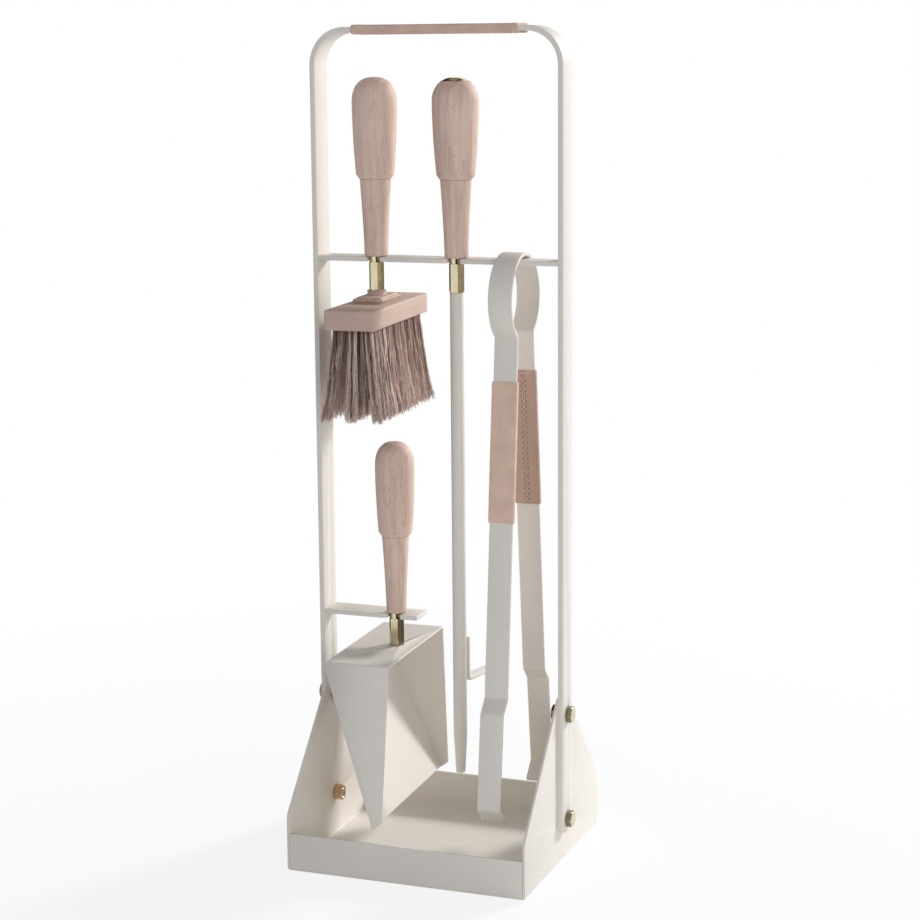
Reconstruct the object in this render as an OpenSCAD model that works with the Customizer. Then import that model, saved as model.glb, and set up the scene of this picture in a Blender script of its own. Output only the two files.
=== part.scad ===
/* [Frame] */
// Height of the frame's top face above the floor
frame_h = 720; // [660:5:800]
// Distance between the inner faces of the two uprights
frame_gap = 217.5; // [200:0.5:250]
// Width of the flat bar, front to back
flat_w = 26; // [20:0.5:32]
// Thickness of the frame's flat bar
frame_t = 4.5; // [3:0.5:6]
// Outer radius of the two top corners
corner_r = 32; // [20:1:50]

/* [Tray] */
// Depth of the tray, front to back
tray_d = 204; // [204:1:240]
// Height of the front and back lips
lip_h = 34; // [24:1:38]
// Height at which the side plates' slopes begin
shoulder_h = 50; // [44:1:60]
// Height of the side plates' peaks
peak_h = 150; // [146:1:170]
// Width of each peak's flat top
peak_w = 22; // [14:1:30]
// Thickness of the tray's sheet
tray_t = 2; // [1.5:0.1:3]
// Outer radius of the tray's folds
fold_r = 3.5; // [3.2:0.1:6]
// Width of the open seams at the tray's corners
seam_w = 0.4; // [0.2:0.1:1]

/* [Bars] */
// Distance from the frame's top face down to the crossbar's underside
crossbar_drop = 197.4; // [185:0.1:220]
// Place of the bracket's free end, from the middle
bracket_end = 21; // [14:1:28]
// Thickness of the crossbar and the bracket
bar_t = 4; // [3:0.5:6]
// Distance from the frame's middle plane forward to the tools' axes
tool_fwd = 4.6; // [3:0.1:6]
// Clearance between a tool's neck and the sides of its notch
notch_gap = 0.3; // [0.2:0.05:1]
// Radius of the rounded lead-in at a notch's mouth
mouth_r = 4; // [2:0.5:6]
// Clearance under a hung tool's shoulder
seat_gap = 0.2; // [0.1:0.05:0.4]

/* [Bolts] */
// Height of the lower bolts
bolt_low = 39.5; // [36:0.5:50]
// Distance from the side plates' peaks down to the upper bolts
bolt_drop = 16; // [12:0.5:50]
// Thread diameter of the frame bolts
bolt_d = 8; // [6:1:10]
// Width across flats of the bolt heads
head_af = 13; // [13:0.5:18]
// Thickness of the bolt heads
head_t = 5.3; // [4:0.1:7]
// Width across flats of the nuts
nut_af = 13; // [12.5:0.5:16]
// Thickness of the nuts
nut_len = 6.8; // [5:0.1:14]
// Length of thread that stands past a nut
bolt_tail = 0.8; // [0.5:0.1:4]
// Diametral clearance of the bolt holes
hole_play = 0.4; // [0.2:0.1:1]

/* [Top grip] */
// Length of the leather around the frame's top
grip_len = 148; // [120:1:152]
// Thickness of the grip's leather
grip_leather_t = 1.6; // [1:0.1:2.5]
// Width of the butt joint between a leather sleeve's edges
butt_w = 0.5; // [0.3:0.1:1]
// Distance from one stitch to the next
stitch_pitch = 5; // [4:0.5:8]
// Length of one stitch
stitch_len = 3.4; // [2:0.1:3.8]
// Diameter of the sewing thread
thread_d = 0.7; // [0.5:0.1:1]

/* [Handles] */
// Length of the brush's and the poker's turned handles
handle_len = 151.5; // [140:0.5:155]
// Length from their tops down to the step
step_down = 84; // [75:1:95]
// Height of the sloping step
step_h = 4.5; // [3:0.5:8]
// Length of the rounded dome above the widest place
dome_h = 22; // [18:1:30]
// Radius of the brush's handle at its widest
brush_grip_r = 19.2; // [17:0.1:21]
// Radius of the poker's handle at its widest
poker_grip_r = 19.8; // [17:0.1:21]
// Radius just above their step
upper_r = 15.9; // [15:0.1:16.5]
// Radius just below their step
lower_r = 13.4; // [12:0.1:14.5]
// Radius at their bottom ends
heel_r = 10.2; // [9.5:0.1:11.5]
// Length of the dustpan's slimmer handle
pan_handle_len = 152.8; // [140:0.1:156]
// Length from its top down to its step
pan_step_down = 81.8; // [75:0.1:95]
// Radius of the dustpan's handle at its widest
pan_grip_r = 17.2; // [16:0.1:19]
// Radius just above its step
pan_upper_r = 14.5; // [13.5:0.1:15.5]
// Radius just below its step
pan_lower_r = 12; // [11:0.1:13]
// Radius at its bottom end
pan_heel_r = 8.8; // [8:0.1:10]

/* [Ferrules and rods] */
// Width across flats of the hexagonal ferrules
ferrule_af = 12; // [11.5:0.1:13]
// Length of a ferrule with its round neck
ferrule_len = 29.2; // [24:0.1:34]
// Diameter of the round neck that hangs in a notch
neck_d = 11.8; // [10.5:0.1:12]
// Diameter of the threaded rods
rod_d = 6; // [5:0.5:7]
// Depth of the rods in the wooden handles
rod_depth = 60; // [40:1:90]
// Diametral clearance of the rods in their bores
rod_play = 0.2; // [0.1:0.05:0.4]

/* [Brush] */
// Place of the brush left of the middle
brush_left = 57.5; // [54:0.5:60]
// Angle at which the brush hangs
brush_turn = 4; // [0:0.5:5]
// Width of the brush's block
block_w = 45; // [40:0.5:46]
// Length of the brush's block
block_l = 148; // [120:1:160]
// Thickness of the brush's block
block_h = 17.5; // [15:0.5:22]
// Radius of the block's rounded edges
block_r = 3.5; // [2:0.5:6]
// Width of the raised plinth on the block
plinth_w = 27; // [24:0.5:32]
// Length of the raised plinth
plinth_l = 52; // [40:1:60]
// Height of the raised plinth
plinth_h = 5; // [3:0.5:8]
// Diameter of the collar under the ferrule
collar_d = 19; // [17:0.5:22]
// Height of the collar
collar_h = 4.6; // [3:0.2:7]
// Free length of the bristles
bristle_len = 76.5; // [60:0.5:90]
// Distance from the block's sides to the bristles' roots
root_inset = 5.5; // [4:0.5:9]
// How far the bristles spread past their roots at each side
spread_w = 10; // [4:0.5:12]
// How far the bristles spread past their roots at each end
spread_l = 7; // [3:0.5:10]

/* [Poker] */
// Place of the poker right of the middle
poker_right = 15.9; // [12:0.1:18]
// Diameter of the poker's tube
tube_d = 12; // [10:0.5:13]
// Bore of the poker's tube
tube_bore = 8.2; // [8.2:0.1:9]
// Height of the poker's tip above the floor
poker_tip = 73; // [60:1:90]
// Length of the tapered nozzle
nozzle_len = 36; // [20:1:50]
// Diameter of the nozzle's cut end
nozzle_d = 8.2; // [7:0.1:9]
// Diameter of the air passage at both ends
air_d = 3.8; // [2.5:0.1:3.9]
// Diameter of the air pipe inside the handle
pipe_d = 8; // [7:0.1:8]
// Length of the air pipe below the ferrule
pipe_tail = 22; // [10:1:40]
// Diameter of the mouthpiece
mouth_d = 25; // [20:0.5:28]
// Depth of the mouthpiece's stem in the handle
stem_len = 9; // [6:0.5:14]
// Height of the hook's underside
hook_z = 155; // [140:1:180]
// Length of the hook behind the tube
hook_reach = 42; // [30:1:48]
// Length of the hook's leg along the tube
hook_leg = 40; // [25:1:60]
// Width of the hook's flat bar
hook_w = 11; // [8:0.5:12]
// Thickness of the hook's flat bar
hook_t = 2.6; // [2:0.1:3.5]
// Angle at which the poker hangs
poker_turn = 12; // [0:1:16]

/* [Dustpan] */
// Place of the dustpan's handle left of the middle
pan_left = 43.3; // [40:0.1:44]
// Angle at which the dustpan hangs
pan_turn = 2; // [0:0.5:3]
// Width of the dustpan's top wall, from its back to its open front
pan_w = 60; // [54:0.5:62]
// Distance from the handle's axis to the open front
pan_front = 18.4; // [14:0.2:18.6]
// Length of the top wall along the mouth
pan_l = 145; // [120:1:150]
// Room between the bristles' ends and the top of the dustpan's handle
pan_room = 28; // [20:0.1:36]
// Height of the dustpan's lowest tips above the tray's lips
pan_clear = 9.5; // [6:0.5:16]
// How far each side wall leans out at the mouth
pan_flare = 18; // [8:1:20]
// Length of the side walls' cut tips
tip_w = 8; // [5:0.5:12]
// Rise from the lowest tip to the end of the open front's edge
tip_rise = 6; // [3:0.5:10]
// How far the open front leans back at the bottom
front_lean = 2; // [0:0.5:5]
// Thickness of the dustpan's sheet
pan_t = 1.5; // [1:0.1:2]
// Radius of the dustpan's folds, on the sheet's middle
pan_fold_r = 2; // [1.5:0.1:4]

/* [Tongs] */
// Place of the tongs right of the middle
tongs_right = 66; // [60:0.5:72]
// Width of the tongs' spring strip
tongs_w = 20.6; // [16:0.2:22]
// Thickness of the tongs' spring strip
tongs_t = 3; // [2:0.1:3.2]
// Outer radius of the round bow
bow_r = 38.3; // [36:0.1:44]
// Half the outer width at the pinch below the bow
pinch_half = 21.6; // [20.5:0.1:24]
// Length of strip that stays with the bow below the pinch
pinch_leg = 6; // [4:0.5:10]
// Half the outer width at the kink
kink_half = 52; // [44:0.5:56]
// Height of the kink
kink_z = 157; // [140:1:170]
// Width and drop of the kink's step
kink_step = 11; // [6:0.5:14]
// Half the outer width where the tips turn in
tip_half = 73; // [68:0.5:76]
// Height at which the tips turn in
tip_turn_z = 65; // [58:1:80]
// How far the tips reach in
tip_in = 14; // [8:0.5:18]
// Height of the tips' ends above the floor
tip_end_z = 49; // [44:1:56]
// Distance from the crossbar's underside down to the sleeves' upper ends
sleeve_drop = 94.6; // [85:0.1:120]
// Height of the sleeves
sleeve_h = 120; // [80:1:140]
// Thickness of the sleeves' leather
sleeve_t = 1.1; // [0.8:0.1:1.5]

/* [Hidden] */
$fn = 64;

paint = "#efe9df";
wood = "#c9aa98";
leather = "#bb9a83";
thread = "#e6dccb";
brass = "#b8a35a";
steel = "#8d8d8d";
hair = "#8a6f62";

// Places that several pieces share
half_gap = frame_gap / 2;
bolt_high = peak_h - bolt_drop;
crossbar_z = frame_h - crossbar_drop;
crossbar_top = crossbar_z + bar_t;
brush_seat = crossbar_top + seat_gap;
block_top = brush_seat - ferrule_len - collar_h - plinth_h;
block_low = block_top - block_h;
pan_seat = block_low - bristle_len - pan_room - pan_handle_len;
bracket_z = pan_seat - seat_gap - bar_t;
rod_bore = rod_d + rod_play;
pipe_bore = pipe_d + rod_play;
touch = 0.05;
dome_power = 2.4;
neck_h = seat_gap + bar_t + 0.4;
hex_corner = 2 / sqrt(3);

// Unit vector along v
function unit(v) = v / norm(v);

// Vector v turned a quarter turn to the left
function left_of(v) = [-v[1], v[0]];

// Points of an arc about c, from angle a0 to a1
function arc(c, r, a0, a1, n = 8) =
    [for (i = [0 : n]) let (a = a0 + (a1 - a0) * i / n) c + r * [cos(a), sin(a)]];

// Arc of radius r that rounds the corner b between a and c
function fillet(a, b, c, r, n = 6) =
    let (
        u = unit(a - b),
        v = unit(c - b),
        half = acos(u * v) / 2,
        centre = b + unit(u + v) * r / sin(half),
        start = b + u * r / tan(half) - centre,
        side = u[0] * v[1] - u[1] * v[0] > 0 ? -1 : 1,
        a0 = atan2(start[1], start[0])
    )
    arc(centre, r, a0, a0 + side * (180 - 2 * half), n);

// Open path whose inner corners are rounded by the radii in r
function rounded_path(p, r) =
    let (last = len(p) - 1)
    [
        p[0],
        for (i = [1 : last - 1]) each r[i - 1] > 0 ? fillet(p[i - 1], p[i], p[i + 1], r[i - 1]) : [p[i]],
        p[last]
    ];

// Closed outline whose corners are rounded by the radii in r
function rounded_outline(p, r) =
    let (n = len(p))
    [for (i = [0 : n - 1]) each r[i] > 0 ? fillet(p[(i + n - 1) % n], p[i], p[(i + 1) % n], r[i]) : [p[i]]];

// Sideways offset at point i of a path that keeps the strip's thickness around corners
function mitre(p, i) =
    let (
        u = i == 0 ? unit(p[1] - p[0]) : unit(p[i] - p[i - 1]),
        v = i == len(p) - 1 ? u : unit(p[i + 1] - p[i]),
        m = left_of(unit(u + v))
    )
    m / (m * left_of(u));

// Outline of a strip of thickness t whose middle follows path p
function band(p, t) =
    let (n = len(p) - 1)
    concat(
        [for (i = [0 : n]) p[i] + mitre(p, i) * t / 2],
        [for (i = [n : -1 : 0]) p[i] - mitre(p, i) * t / 2]
    );

// Extrudes a drawing of X and Z along Y, centred
module along_y(w) {
    rotate([90, 0, 0]) linear_extrude(w, center = true) children();
}

// Extrudes a drawing of Y and Z along X, centred
module along_x(w) {
    rotate([90, 0, 90]) linear_extrude(w, center = true) children();
}

// Hexagonal bar whose end at h is chamfered
module chamfered_hex(af, h) {
    intersection() {
        cylinder(d = af * hex_corner, h = h, $fn = 6);
        union() {
            cylinder(d = af * hex_corner + 1, h = h - af * 0.09);
            translate([0, 0, h - af * 0.09]) cylinder(d1 = af * hex_corner, d2 = af * 0.93, h = af * 0.09);
        }
    }
}

// ---- stand ----

// The tray's two folded profiles are cut to its front and side outlines
module base_tray() {
    mid = tray_t / 2;
    bend = fold_r - mid;
    lip_y = tray_d / 2 - mid;
    side_x = half_gap - mid;
    lips = [[-lip_y, lip_h], [-lip_y, mid], [lip_y, mid], [lip_y, lip_h]];
    sides = [[-side_x, peak_h], [-side_x, mid], [side_x, mid], [side_x, peak_h]];
    side_outline = rounded_outline(
        [
            [-tray_d / 2, 0], [tray_d / 2, 0], [tray_d / 2, shoulder_h], [peak_w / 2, peak_h],
            [-peak_w / 2, peak_h], [-tray_d / 2, shoulder_h]
        ],
        [fold_r, fold_r, 9, 6, 6, 9]
    );
    front_outline = rounded_outline(
        [[-half_gap, 0], [half_gap, 0], [half_gap, lip_h], [-half_gap, lip_h]],
        [fold_r, fold_r, 0, 0]
    );
    color(paint) difference() {
        union() {
            intersection() {
                along_x(frame_gap) polygon(band(rounded_path(lips, [bend, bend]), tray_t));
                along_y(tray_d) polygon(front_outline);
            }
            intersection() {
                along_y(tray_d) polygon(band(rounded_path(sides, [bend, bend]), tray_t));
                along_x(frame_gap) polygon(side_outline);
            }
        }
        corner_seams();
        frame_holes();
    }
}

// Open seams between the lips and the side plates
module corner_seams() {
    for (sx = [-1, 1], sy = [-1, 1])
        translate([sx * (half_gap - tray_t - seam_w / 2), sy * tray_d / 2, fold_r + lip_h / 2])
            cube([seam_w, 4 * tray_t, lip_h], center = true);
}

// Holes for the four frame bolts
module frame_holes() {
    for (z = [bolt_low, bolt_high])
        translate([0, 0, z]) rotate([0, 90, 0])
            cylinder(d = bolt_d + hole_play, h = frame_gap + 4 * frame_t, center = true);
}

module frame_strip() {
    x = half_gap + frame_t / 2;
    top = frame_h - frame_t / 2;
    bend = corner_r - frame_t / 2;
    foot = bolt_low - flat_w / 2;
    path = concat(
        [[-x, foot]],
        arc([-x + bend, top - bend], bend, 180, 90, 16),
        arc([x - bend, top - bend], bend, 90, 0, 16),
        [[x, foot]]
    );
    color(paint) difference() {
        along_y(flat_w) polygon(band(path, frame_t));
        foot_corners();
        frame_holes();
    }
}

// What is cut away to round the uprights' lower ends about the lower bolts
module foot_corners() {
    length = frame_gap + 4 * frame_t;
    translate([0, 0, bolt_low]) difference() {
        translate([0, 0, -flat_w / 2]) cube([length, flat_w + 1, flat_w], center = true);
        rotate([0, 90, 0]) cylinder(d = flat_w, h = length + 1, center = true);
    }
}

// Notch that is open to the front, with a rounded lead-in at its left
module notch() {
    r = neck_d / 2 + notch_gap;
    circle(r);
    translate([-r, -flat_w]) square([2 * r, flat_w]);
    translate([-r, tool_fwd - flat_w / 2]) difference() {
        translate([-mouth_r, -1]) square([2 * mouth_r, mouth_r + 1]);
        translate([-mouth_r, mouth_r]) circle(mouth_r);
        translate([-2 * mouth_r, mouth_r]) square([4 * mouth_r, mouth_r]);
    }
}

// Flat bar from x0 to x1 with a notch at each place in hooks
module notched_bar(x0, x1, z, hooks) {
    translate([0, 0, z]) linear_extrude(bar_t) difference() {
        translate([x0, -flat_w / 2]) square([x1 - x0, flat_w]);
        for (x = hooks) translate([x, -tool_fwd]) notch();
    }
}

module crossbar() {
    color(paint) notched_bar(-half_gap, half_gap, crossbar_z, [-brush_left, poker_right]);
}

module pan_bracket() {
    color(paint) notched_bar(-half_gap, -bracket_end, bracket_z, [-pan_left]);
}

// Places children at each bolt, with +Z pointing out of the frame
module at_bolts() {
    for (side = [0, 180], z = [bolt_low, bolt_high])
        rotate([0, 0, side]) translate([half_gap, 0, z]) rotate([0, 90, 0]) children();
}

module frame_bolts() {
    color(brass) at_bolts() {
        translate([0, 0, frame_t]) chamfered_hex(head_af, head_t);
        translate([0, 0, -tray_t - nut_len - bolt_tail])
            cylinder(d = bolt_d, h = bolt_tail + nut_len + tray_t + frame_t + 1);
    }
}

module frame_nuts() {
    color(brass) at_bolts() translate([0, 0, -tray_t]) rotate([180, 0, 30]) difference() {
        chamfered_hex(nut_af, nut_len);
        translate([0, 0, -1]) cylinder(d = bolt_d + rod_play, h = nut_len + 2);
    }
}

// Leather wrapped around a strip w wide and t thick, along Z, with its butt joint at -Y
module leather_tube(w, t, lt, length) {
    linear_extrude(length) difference() {
        polygon(rounded_outline(
            [[-w / 2 - lt, -t / 2 - lt], [w / 2 + lt, -t / 2 - lt], [w / 2 + lt, t / 2 + lt], [-w / 2 - lt, t / 2 + lt]],
            [lt, lt, lt, lt]
        ));
        square([w, t], center = true);
        translate([-butt_w / 2, -t / 2 - lt - 1]) square([butt_w, lt + 1.5]);
    }
}

// Row of stitches across the butt joint of a leather tube
module stitches(t, lt, length) {
    count = floor((length - stitch_pitch) / stitch_pitch);
    for (i = [0 : count - 1])
        translate([-stitch_len / 2, -t / 2 - lt - thread_d / 2, (i + 1) * stitch_pitch])
            rotate([0, 90, 0]) cylinder(d = thread_d, h = stitch_len, $fn = 8);
}

// Turns a leather tube to lie along the frame's top, joint down
module on_top_bar() {
    translate([-grip_len / 2, 0, frame_h - frame_t / 2]) rotate([90, 0, 90]) children();
}

module grip_leather() {
    color(leather) on_top_bar() leather_tube(flat_w, frame_t, grip_leather_t, grip_len);
}

module grip_thread() {
    color(thread) on_top_bar() stitches(frame_t, grip_leather_t, grip_len);
}

// ---- handles and ferrules ----

// Outline of a turned handle: radii are those at its widest, above the step, below it and at the bottom,
// and the dome, a superellipse of the given power, is cut flat at radius flat_r
function handle_outline(length, down, radii, dome, power, flat_r) =
    let (
        r = radii[0],
        edge = 1.2,
        step_z = length - down - step_h,
        wide_z = length - dome,
        u_end = pow(1 - pow(flat_r / r, power), 1 / power)
    )
    concat(
        [[0, 0], [radii[3] - edge, 0]],
        [for (i = [0 : 6]) let (u = i / 6)
            [radii[3] + (radii[2] - radii[3]) * pow(u, 1.4), edge + (step_z - edge) * u]],
        [for (i = [0 : 10]) let (u = i / 10)
            [r - (r - radii[1]) * pow(1 - u, 1.8), step_z + step_h + (wide_z - step_z - step_h) * u]],
        [for (i = [1 : 12]) let (u = u_end * sin(90 * i / 12))
            [r * pow(max(1 - pow(u, power), 0), 1 / power), wide_z + dome * u]],
        flat_r > 0 ? [[0, wide_z + dome * u_end]] : []
    );

// Turned handle with a bore from below
module handle(outline, bore, depth) {
    color(wood) difference() {
        rotate_extrude() polygon(outline);
        translate([0, 0, -1]) cylinder(d = bore, h = depth + 1);
    }
}

// Hexagonal ferrule below a handle, with the round neck that hangs in a notch
module ferrule(bore) {
    color(brass) difference() {
        union() {
            translate([0, 0, -neck_h]) cylinder(d = neck_d, h = neck_h);
            translate([0, 0, -ferrule_len])
                cylinder(d = ferrule_af * hex_corner, h = ferrule_len - neck_h, $fn = 6);
        }
        translate([0, 0, -ferrule_len - 1]) cylinder(d = bore, h = ferrule_len + 2);
    }
}

// ---- brush ----

brush_rod_low = block_low + 5;

module on_brush(z) {
    translate([-brush_left, -tool_fwd, z]) rotate([0, 0, brush_turn]) children();
}

module brush_handle() {
    radii = [brush_grip_r, upper_r, lower_r, heel_r];
    on_brush(brush_seat)
        handle(handle_outline(handle_len, step_down, radii, dome_h, dome_power, 0), rod_bore, rod_depth + 1);
}

module brush_ferrule() {
    on_brush(brush_seat) rotate([0, 0, -brush_turn]) ferrule(rod_bore);
}

module brush_rod() {
    color(steel) on_brush(brush_rod_low) cylinder(d = rod_d, h = brush_seat + rod_depth - brush_rod_low);
}

// Block with all edges rounded, its stepped plinth and the collar under the ferrule
module brush_block() {
    color(wood) on_brush(block_low) difference() {
        union() {
            hull() for (sx = [-1, 1], sy = [-1, 1], z = [block_r, block_h - block_r])
                translate([sx * (block_w / 2 - block_r), sy * (block_l / 2 - block_r), z])
                    sphere(block_r, $fn = 24);
            plinth();
            cylinder(d = collar_d, h = block_h + plinth_h + collar_h);
        }
        translate([0, 0, brush_rod_low - block_low - 1]) cylinder(d = rod_bore, h = block_h + plinth_h + collar_h);
    }
}

// Plinth with a lower tread and a narrower upper tread
module plinth() {
    tread = 2.4;
    for (step = [0, 1])
        translate([0, 0, block_h / 2]) linear_extrude(block_h / 2 + plinth_h * (step + 1) / 2)
            square([plinth_w - 2 * tread * step, plinth_l - 2 * tread * step], center = true);
}

module brush_bristles() {
    root_w = block_w - 2 * root_inset;
    root_l = block_l - 2 * root_inset;
    color(hair) on_brush(block_low - bristle_len) hull() {
        translate([0, 0, bristle_len - 0.1]) linear_extrude(0.1) square([root_w, root_l], center = true);
        linear_extrude(0.1) square([root_w + 2 * spread_w, root_l + 2 * spread_l], center = true);
    }
}

// ---- poker ----

poker_seat = brush_seat;
poker_dome = 20;
poker_power = 2.8;
tube_top = poker_seat - ferrule_len;
mouth_u = pow(1 - pow(mouth_d / 2 / poker_grip_r, poker_power), 1 / poker_power);
mouth_z = handle_len - poker_dome + poker_dome * mouth_u;
mouth_h = handle_len - mouth_z;

module on_poker(z) {
    translate([poker_right, -tool_fwd, z]) rotate([0, 0, -poker_turn]) children();
}

// The poker's handle is bored right through for the air pipe
module poker_handle() {
    radii = [poker_grip_r, upper_r, lower_r, heel_r];
    outline = handle_outline(handle_len, step_down, radii, poker_dome, poker_power, mouth_d / 2);
    on_poker(poker_seat) difference() {
        handle(outline, pipe_bore, handle_len);
        translate([0, 0, mouth_z - stem_len]) cylinder(d = pipe_d + 4 + rod_play, h = stem_len + 1);
    }
}

// Low domed disc with a dished air hole, on a stem that sits in the handle
module poker_mouthpiece() {
    rim = mouth_d / 2;
    color(brass) on_poker(poker_seat + mouth_z) difference() {
        rotate_extrude() polygon([
            [0, -stem_len + touch], [pipe_d / 2 + 2, -stem_len + touch], [pipe_d / 2 + 2, 0], [rim, 0],
            [rim - 0.4, mouth_h * 0.35], [rim - 1.8, mouth_h * 0.75], [rim - 4, mouth_h], [0, mouth_h]
        ]);
        translate([0, 0, -stem_len - 1]) cylinder(d = air_d, h = stem_len + mouth_h + 2);
        translate([0, 0, mouth_h - 1.6]) cylinder(d1 = air_d, d2 = 2 * (rim - 6), h = 1.61);
    }
}

module poker_ferrule() {
    on_poker(poker_seat) rotate([0, 0, poker_turn]) ferrule(pipe_bore);
}

module poker_air_pipe() {
    top = mouth_z - stem_len;
    color(steel) on_poker(tube_top - pipe_tail) difference() {
        cylinder(d = pipe_d, h = pipe_tail + ferrule_len + top);
        translate([0, 0, -1]) cylinder(d = air_d, h = pipe_tail + ferrule_len + top + 2);
    }
}

// Tube with a tapered nozzle at its lower end
module poker_tube() {
    length = tube_top - poker_tip;
    color(paint) on_poker(poker_tip) rotate_extrude() polygon([
        [air_d / 2, 0], [nozzle_d / 2, 0], [tube_d / 2, nozzle_len], [tube_d / 2, length],
        [tube_bore / 2, length], [tube_bore / 2, nozzle_len + 3], [air_d / 2, nozzle_len]
    ]);
}

// Flat bar along the back of the tube, bent backward into a hook
module poker_hook() {
    back = tube_d / 2 + touch + hook_t / 2;
    path = [[back, hook_leg], [back, hook_t / 2], [back + hook_reach, hook_t / 2]];
    color(paint) on_poker(hook_z) along_x(hook_w) polygon(band(rounded_path(path, [hook_t]), hook_t));
}

// ---- dustpan ----

pan_top = pan_seat - ferrule_len;
pan_drop = pan_top - lip_h - pan_clear;
pan_back = pan_front - pan_w;
nut6_h = 5;
nut6_af = 10;

module on_pan(z) {
    translate([-pan_left, -tool_fwd, z]) rotate([0, 0, pan_turn]) children();
}

module pan_handle() {
    radii = [pan_grip_r, pan_upper_r, pan_lower_r, pan_heel_r];
    on_pan(pan_seat)
        handle(handle_outline(pan_handle_len, pan_step_down, radii, dome_h, dome_power, 0), rod_bore, rod_depth + 1);
}

module pan_ferrule() {
    on_pan(pan_seat) ferrule(rod_bore);
}

module pan_rod() {
    low = pan_top - pan_t - nut6_h - 1;
    color(steel) on_pan(low) cylinder(d = rod_d, h = pan_seat + rod_depth - low);
}

module pan_nut() {
    color(steel) on_pan(pan_top - pan_t - nut6_h) difference() {
        cylinder(d = nut6_af * hex_corner, h = nut6_h, $fn = 6);
        translate([0, 0, -1]) cylinder(d = rod_bore, h = nut6_h + 2);
    }
}

// Top wall and two leaning side walls are one folded band; the sloping floor closes the back
module pan_shell() {
    mid = pan_t / 2;
    y_top = pan_l / 2 - mid;
    y_low = y_top + pan_flare;
    low_x = pan_front - front_lean - tip_w;
    walls = [[-y_low, -pan_drop], [-y_top, -mid], [y_top, -mid], [y_low, -pan_drop]];
    outline = rounded_outline(
        [[pan_front, 0], [pan_back, 0], [low_x, -pan_drop], [pan_front - front_lean, tip_rise - pan_drop]],
        [0, pan_fold_r + mid, 1.5, 1.5]
    );
    slope = unit([low_x - pan_back, -pan_drop]);
    floor_path = [
        [pan_front, -mid],
        [pan_back + mid * (1 + slope[0]) / -slope[1], -mid],
        [low_x, -pan_drop] + mid * left_of(slope) - slope
    ];
    color(paint) on_pan(pan_top) difference() {
        union() {
            intersection() {
                along_x(3 * pan_w) polygon(band(rounded_path(walls, [pan_fold_r, pan_fold_r]), pan_t));
                along_y(2 * pan_l) polygon(outline);
            }
            intersection() {
                along_y(2 * pan_l) polygon(band(rounded_path(floor_path, [pan_fold_r]), pan_t));
                along_x(3 * pan_w) polygon(walls);
            }
        }
        translate([0, 0, -pan_t - 1]) cylinder(d = rod_d + hole_play, h = pan_t + 2);
    }
}

// ---- tongs ----

bow_mid = bow_r - tongs_t / 2;
bow_inner = bow_r - tongs_t;
bow_z = crossbar_top + seat_gap + 0.1 - sqrt(pow(bow_inner, 2) - pow(flat_w / 2, 2));
pinch_y = pinch_half - tongs_t / 2;
pinch_z = bow_z - sqrt(pow(bow_mid, 2) - pow(pinch_y, 2));
kink_y = kink_half - tongs_t / 2;
arm_dir = unit([kink_y - pinch_y, kink_z - pinch_z]);
arm_tilt = atan2(arm_dir[0], -arm_dir[1]);
sleeve_low = crossbar_z - sleeve_drop - sleeve_h;
sleeve_len = sleeve_h / cos(arm_tilt);
hinge_play = 0.3;

module on_tongs() {
    translate([tongs_right, 0, 0]) children();
}

// Round bow down to a short straight leg under each pinch
module tongs_bow() {
    a = asin((pinch_z - bow_z) / bow_mid);
    rear = [pinch_y, pinch_z] + pinch_leg * arm_dir;
    ring = arc([0, bow_z], bow_mid, a, 180 - a, 60);
    path = concat([rear], ring, [[-rear[0], rear[1]]]);
    radii = [2, for (i = [1 : len(ring) - 2]) 0, 2];
    color(paint) on_tongs() along_x(tongs_w) polygon(band(rounded_path(path, radii), tongs_t));
}

// Rear arm of the tongs, from the hinge gap to the tip that turns in
module arm() {
    tip_y = tip_half - tongs_t / 2;
    path = [
        [pinch_y, pinch_z] + (pinch_leg + hinge_play) * arm_dir,
        [kink_y, kink_z],
        [kink_y + kink_step, kink_z - kink_step],
        [tip_y, tip_turn_z],
        [tip_y - tip_in, tip_end_z + tongs_t / 2]
    ];
    color(paint) on_tongs() along_x(tongs_w) polygon(band(rounded_path(path, [5, 5, 4]), tongs_t));
}

// Places children along the rear arm at the sleeve's lower end, +Z up the arm
module at_sleeve() {
    y = pinch_y + (pinch_z - sleeve_low) * tan(arm_tilt);
    on_tongs() translate([0, y, sleeve_low]) rotate([arm_tilt, 0, 0]) children();
}

module sleeve() {
    color(leather) at_sleeve() leather_tube(tongs_w, tongs_t, sleeve_t, sleeve_len);
}

module sleeve_stitches() {
    color(thread) at_sleeve() stitches(tongs_t, sleeve_t, sleeve_len);
}

module tongs_rear_arm() {
    arm();
}

module tongs_front_arm() {
    mirror([0, 1, 0]) arm();
}

module rear_sleeve() {
    sleeve();
}

module rear_thread() {
    sleeve_stitches();
}

module front_sleeve() {
    mirror([0, 1, 0]) sleeve();
}

module front_thread() {
    mirror([0, 1, 0]) sleeve_stitches();
}

base_tray();
frame_strip();
crossbar();
pan_bracket();
frame_bolts();
frame_nuts();
grip_leather();
grip_thread();
brush_handle();
brush_ferrule();
brush_rod();
brush_block();
brush_bristles();
poker_handle();
poker_mouthpiece();
poker_ferrule();
poker_air_pipe();
poker_tube();
poker_hook();
pan_handle();
pan_ferrule();
pan_rod();
pan_nut();
pan_shell();
tongs_bow();
tongs_front_arm();
tongs_rear_arm();
front_sleeve();
front_thread();
rear_sleeve();
rear_thread();
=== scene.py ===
import random
from math import asin, atan2, copysign, cos, dist, pi, radians, sin, sqrt, tan
import bpy
from mathutils import Matrix, Vector


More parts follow.
